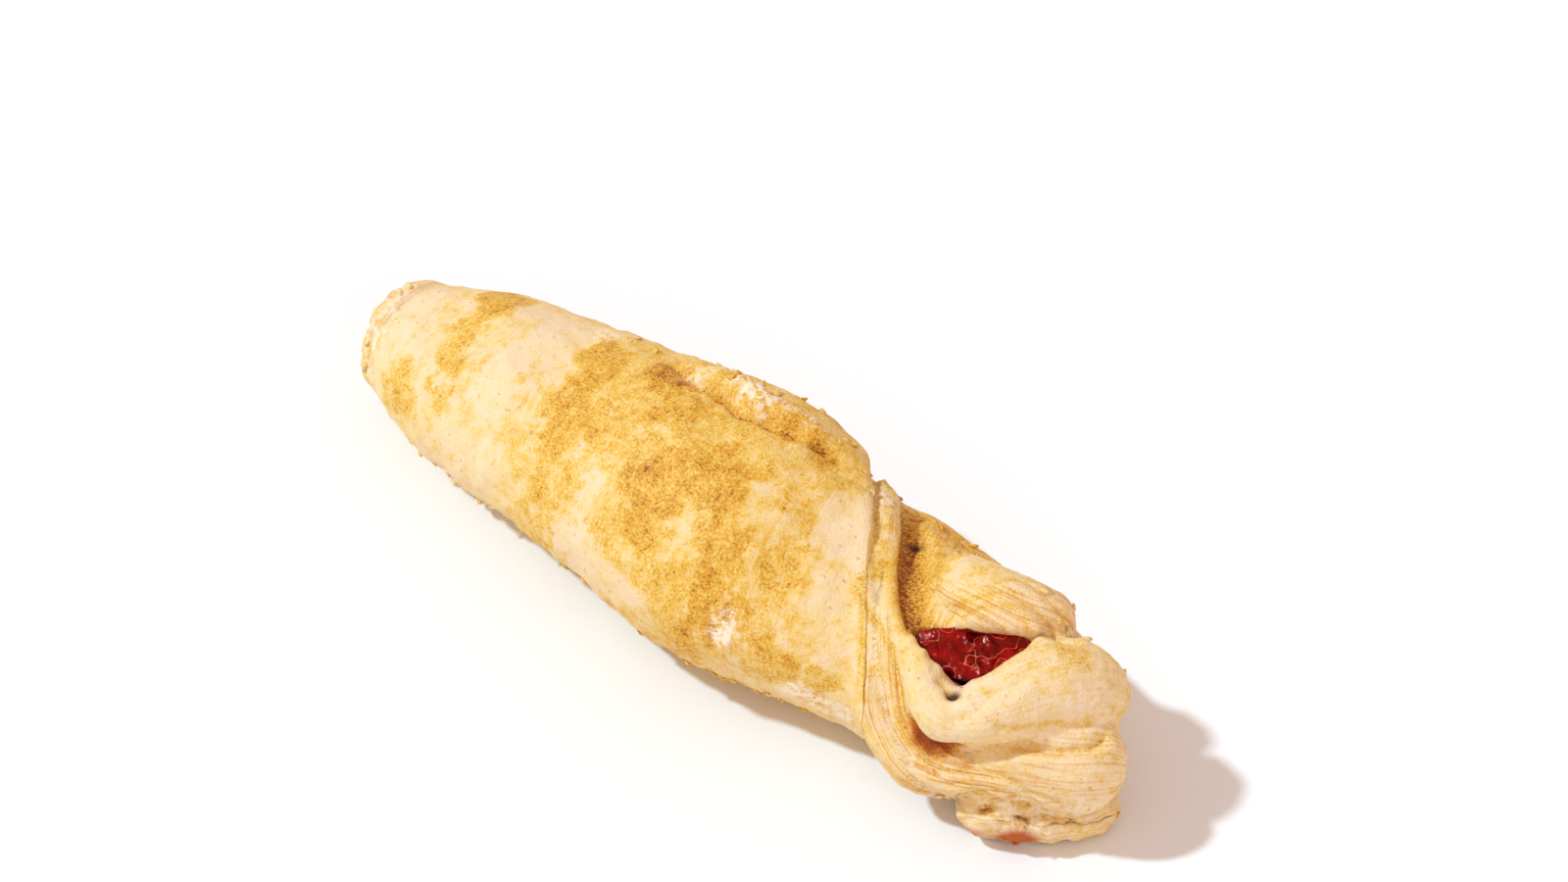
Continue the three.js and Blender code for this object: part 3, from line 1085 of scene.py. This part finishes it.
# %% Baked crust
crust = Recipe("crust_look")
where = crust.add("ShaderNodeTexCoord").outputs["Object"]
lines_at = crust.attribute("lines", "Vector")
cut_share = crust.attribute("layered")
fine = crust.noise(where, 2300, 2, 0.6)
mottle = crust.noise(where, 620, 4, 0.65)
LINES_PER_MM = (2.3, 0.06, 1.0)
stretched = crust.add("ShaderNodeVectorMath", {0: lines_at, 1: LINES_PER_MM}, operation="MULTIPLY")
streaks = crust.noise(stretched.outputs[0], 1.0, 4, 0.6)
# The brown number holds the baked browning and the painted shade in the creases.
baked_and_crease_shade = crust.attribute("brown")
baked_and_crease_shade = crust.math("MULTIPLY_ADD", crust.math("SUBTRACT", mottle, 0.5), 0.5, baked_and_crease_shade)
speckle = crust.math("MULTIPLY_ADD", crust.rise(baked_and_crease_shade, 0.2, 0.6), 1.1, 0.35)
baked_and_crease_shade = crust.math("MULTIPLY_ADD", crust.math("SUBTRACT", fine, 0.5), speckle, baked_and_crease_shade)
pulled = crust.math("MULTIPLY", crust.math("SUBTRACT", streaks, 0.5), crust.attribute("sure"))
baked_and_crease_shade = crust.math("MULTIPLY_ADD", pulled, 0.35, baked_and_crease_shade)
ramp = crust.add("ShaderNodeValToRGB", {"Fac": baked_and_crease_shade})
ramp.color_ramp.elements[0].position = TONES[0][0]
ramp.color_ramp.elements[0].color = shade(*TONES[0][1])
ramp.color_ramp.elements[1].position = TONES[-1][0]
ramp.color_ramp.elements[1].color = shade(*TONES[-1][1])
for at, tone in TONES[1:-1]:
    ramp.color_ramp.elements.new(at).color = shade(*tone)
colour = ramp.outputs["Color"]
not_dark_brown = crust.rise(crust.attribute("brown"), 0.85, 0.6)
line_share = crust.math("MULTIPLY", cut_share, not_dark_brown)
dark_share = crust.math("MULTIPLY", line_share, 0.9)
dark_lines = crust.math("MULTIPLY", crust.rise(streaks, 0.47, 0.62), dark_share)
colour = crust.mix(dark_lines, colour, LINE_DARK)
pale_share = crust.math("MULTIPLY", line_share, 0.8)
pale_lines = crust.math("MULTIPLY", crust.rise(streaks, 0.46, 0.36), pale_share)
colour = crust.mix(pale_lines, colour, LINE_PALE)
rosy = crust.rise(crust.noise(where, 85, 3, 0.6), 0.46, 0.6)
blush = crust.math("MULTIPLY", rosy, crust.rise(baked_and_crease_shade, 0.4, 0.15))
colour = crust.mix(crust.math("MULTIPLY", blush, 0.38), colour, BLUSH)
freckle = crust.rise(crust.noise(where, 1050, 2, 0.5), 0.66, 0.72)
colour = crust.mix(crust.math("MULTIPLY", freckle, 0.55), colour, FRECKLE)
# Flour, and painted light on the foot and lower lip, lighten the crust where it isn't dark brown.
dust_and_light_share = crust.math("MULTIPLY", crust.attribute("flour_and_painted_light"), not_dark_brown)
dust_and_painted_light = crust.math("MULTIPLY", dust_and_light_share, crust.rise(crust.noise(where, 900, 3, 0.7), 0.42, 0.56))
colour = crust.mix(dust_and_painted_light, colour, FLOUR_AND_PAINTED_LIGHT_COLOUR)
burnt = crust.math("MULTIPLY", crust.attribute("caramel"), crust.rise(mottle, 0.15, 0.42))
colour = crust.mix(burnt, colour, CARAMEL)
colour = crust.mix(crust.rise(crust.attribute("stain"), 0.2, 0.55), colour, GUAVA_STAIN)
# Painted shade darkens the holes, the pits and the floor of the crack.
colour = crust.mix(crust.attribute("painted_hole_shade"), colour, HOLE_SHADE_COLOUR)
crust.put(crust.shader.inputs["Base Color"], colour)
crust.shader.inputs["Roughness"].default_value = 0.62
crust.shader.inputs["Specular IOR Level"].default_value = 0.35
height = crust.math("MULTIPLY_ADD", fine, 0.6, crust.math("MULTIPLY", mottle, 0.9))
skin_lines = crust.math("MULTIPLY", crust.attribute("sure"), 0.15)
streak_height = crust.math("MULTIPLY_ADD", cut_share, 0.8, skin_lines)
height = crust.math("MULTIPLY_ADD", streaks, streak_height, height)
bump = crust.add("ShaderNodeBump", {"Height": height, "Strength": 0.9, "Distance": 0.00026})
crust.put(crust.shader.inputs["Normal"], bump.outputs["Normal"])

# %% Finish the roll
roll.data.transform(Matrix.Scale(MM, 4) @ Matrix.Translation(Vector(TO_FRAME)))
roll.data.shade_smooth()
roll.data.materials.clear()
roll.data.materials.append(crust.material)
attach(roll, "root")
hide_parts("pastry_roll")

# %% [markdown]
# ## Guava filling
#
# The paste is wet, dark red and translucent, folded in soft lumps, with thin bright lines painted on as
# highlights. A fluid simulation could fold it, but the mouth shows only its top. So it starts as the
# mouth's own shape, a little smaller, as in the imported model, and only the points near its top move.

# %% Shape of the filling
FIT_GAP = 0.35
# The filling ends at a slanted plane: a place on it, its facing, and how far the lumps start above.
JAM_LEVEL = np.array([50, -1, 24.6])
JAM_FACING = unit(np.array([0.28, -0.32, 0.9]))
JAM_HEADROOM = 0.2
JAM_VOXEL = 0.22
bm = bmesh.new()
add_lobe(bm, [(x, y, z, w - FIT_GAP, t - FIT_GAP) for x, y, z, w, t in MOUTH], 48, 48, FOLD_TIP)
bmesh.ops.bisect_plane(
    bm,
    geom=bm.verts[:] + bm.edges[:] + bm.faces[:],
    plane_co=JAM_LEVEL + JAM_HEADROOM * JAM_FACING,
    plane_no=JAM_FACING,
    clear_outer=True,
)
bmesh.ops.holes_fill(bm, edges=[e for e in bm.edges if e.is_boundary])
bmesh.ops.recalc_face_normals(bm, faces=bm.faces[:])
jam_mesh = bpy.data.meshes.new("guava_filling_shape")
bm.to_mesh(jam_mesh)
bm.free()
jam = bpy.data.objects.new("guava_paste_lump", jam_mesh)
bpy.context.scene.collection.objects.link(jam)
remesh(jam, JAM_VOXEL)
soften(jam, 2)
JAM, JAM_OUT = points_of(jam)
over = (JAM - JAM_LEVEL) @ JAM_FACING
top = step_up(over, -1.2, 0.0)
folded = 1 - np.abs(grain(JAM * [1, 1, 0.6], 2.6, 3.3))
lumps = 0.9 * grain(JAM, 3.4, 6.6) + 0.5 * (folded**4 - 0.5) + 0.15 * grain(JAM, 1.0, 2.2)
move_points(jam, JAM + top[:, None] * JAM_FACING * (lumps - 0.35)[:, None])
print("filling:", len(jam.data.vertices), "points")

# %% Wet guava paste
paste = Recipe("guava_look")
spot = paste.add("ShaderNodeTexCoord").outputs["Object"]
cloud = paste.noise(spot, 420, 3, 0.6)
threads = paste.noise(spot, 900, 2, 0.5)
red = paste.add("ShaderNodeValToRGB", {"Fac": cloud})
red.color_ramp.elements[0].position = 0.35
red.color_ramp.elements[0].color = shade(64, 1, 3)
red.color_ramp.elements[1].position = 0.65
red.color_ramp.elements[1].color = shade(160, 6, 4)
wavy = paste.noise(spot, 330, 1, 0.4)
# Thin bright lines where the noise crosses its middle: painted highlights on the wet paste.
painted_highlight_lines = paste.math("ABSOLUTE", paste.math("SUBTRACT", wavy, 0.52))
paste_colour_and_highlights = paste.mix(paste.rise(painted_highlight_lines, 0.012, 0.004), red.outputs["Color"], shade(226, 104, 70))
paste_colour_and_highlights = paste.mix(paste.rise(threads, 0.66, 0.74), paste_colour_and_highlights, shade(206, 60, 44))
paste.put(paste.shader.inputs["Base Color"], paste_colour_and_highlights)
paste.shader.inputs["Roughness"].default_value = 0.3
paste.shader.inputs["Coat Weight"].default_value = 0.12
paste.shader.inputs["Coat Roughness"].default_value = 0.12
paste.shader.inputs["Specular IOR Level"].default_value = 0.3
paste.shader.inputs["Specular Tint"].default_value = shade(255, 150, 130)
paste.shader.inputs["Subsurface Weight"].default_value = 0.15
paste.shader.inputs["Subsurface Radius"].default_value = (0.002, 0.0004, 0.0003)
paste.shader.inputs["Subsurface Scale"].default_value = 1.0
wet = paste.add("ShaderNodeBump", {"Height": cloud, "Strength": 0.6, "Distance": 0.0006})
paste.put(paste.shader.inputs["Normal"], wet.outputs["Normal"])
jam.data.transform(Matrix.Scale(MM, 4) @ Matrix.Translation(Vector(TO_FRAME)))
jam.data.shade_smooth()
jam.data.materials.clear()
jam.data.materials.append(paste.material)
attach(jam, "root")
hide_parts("guava_filling")

# %% [markdown]
# ## Floor, light and camera
#
# The pastry lies on a white table under one fairly hard light from the tail's side, with soft light
# all round. Area lamps could do this, but suns light the far end as much as the near one. The
# camera looks down over the twisted end through a long lens, which keeps the proportions true.

# %% Floor
FLOOR_HALF = 1.5
bm = bmesh.new()
bmesh.ops.create_grid(bm, x_segments=1, y_segments=1, size=FLOOR_HALF)
floor_mesh = bpy.data.meshes.new("floor")
bm.to_mesh(floor_mesh)
bm.free()
floor = bpy.data.objects.new("floor", floor_mesh)
bpy.context.scene.collection.objects.link(floor)
floor_mat = bpy.data.materials.new("pale_floor")
floor_mat.use_nodes = True
floor_shader = floor_mat.node_tree.nodes["Principled BSDF"]
floor_shader.inputs["Base Color"].default_value = (0.86, 0.86, 0.86, 1)
floor_shader.inputs["Roughness"].default_value = 0.9
floor_shader.inputs["Specular IOR Level"].default_value = 0.1
floor_mesh.materials.append(floor_mat)

# %% Light
def add_sun(name, travel, strength, colour, softness):
    """A sun whose light goes along `travel`. `softness` is its width in degrees."""
    lamp = bpy.data.lights.new(name, "SUN")
    lamp.energy = strength
    lamp.color = colour
    lamp.angle = math.radians(softness)
    holder = bpy.data.objects.new(name, lamp)
    holder.rotation_euler = Vector(travel).to_track_quat("-Z", "Y").to_euler()
    bpy.context.scene.collection.objects.link(holder)


add_sun("key", (20, 13, -27), 2.65, (0.675, 0.885, 1.0), 4)
# A broad weak light from beside the near end keeps its shaded side from going grey.
add_sun("fill", (-0.92, 0.35, -0.15), 0.75, (0.95, 1.0, 0.95), 70)
world = bpy.data.worlds.new("studio")
world.use_nodes = True
bpy.context.scene.world = world
sky = world.node_tree.nodes["Background"]
sky.inputs["Color"].default_value = (1.0, 0.785, 0.705, 1)
sky.inputs["Strength"].default_value = 0.74
bpy.context.scene.view_settings.view_transform = "Standard"

# %% Camera
EYE = Vector((0.27318, -0.30090, 0.44229))
turn, rise = math.radians(41), math.radians(45)
back = Vector((math.sin(turn) * math.cos(rise), -math.cos(turn) * math.cos(rise), math.sin(rise)))
lens = bpy.data.cameras.new("camera")
lens.lens = 85
lens.sensor_width = 36
lens.clip_start = 0.01
camera = bpy.data.objects.new("camera", lens)
camera.location = EYE
camera.rotation_euler = (-back).to_track_quat("-Z", "Y").to_euler()
bpy.context.scene.collection.objects.link(camera)
bpy.context.scene.camera = camera
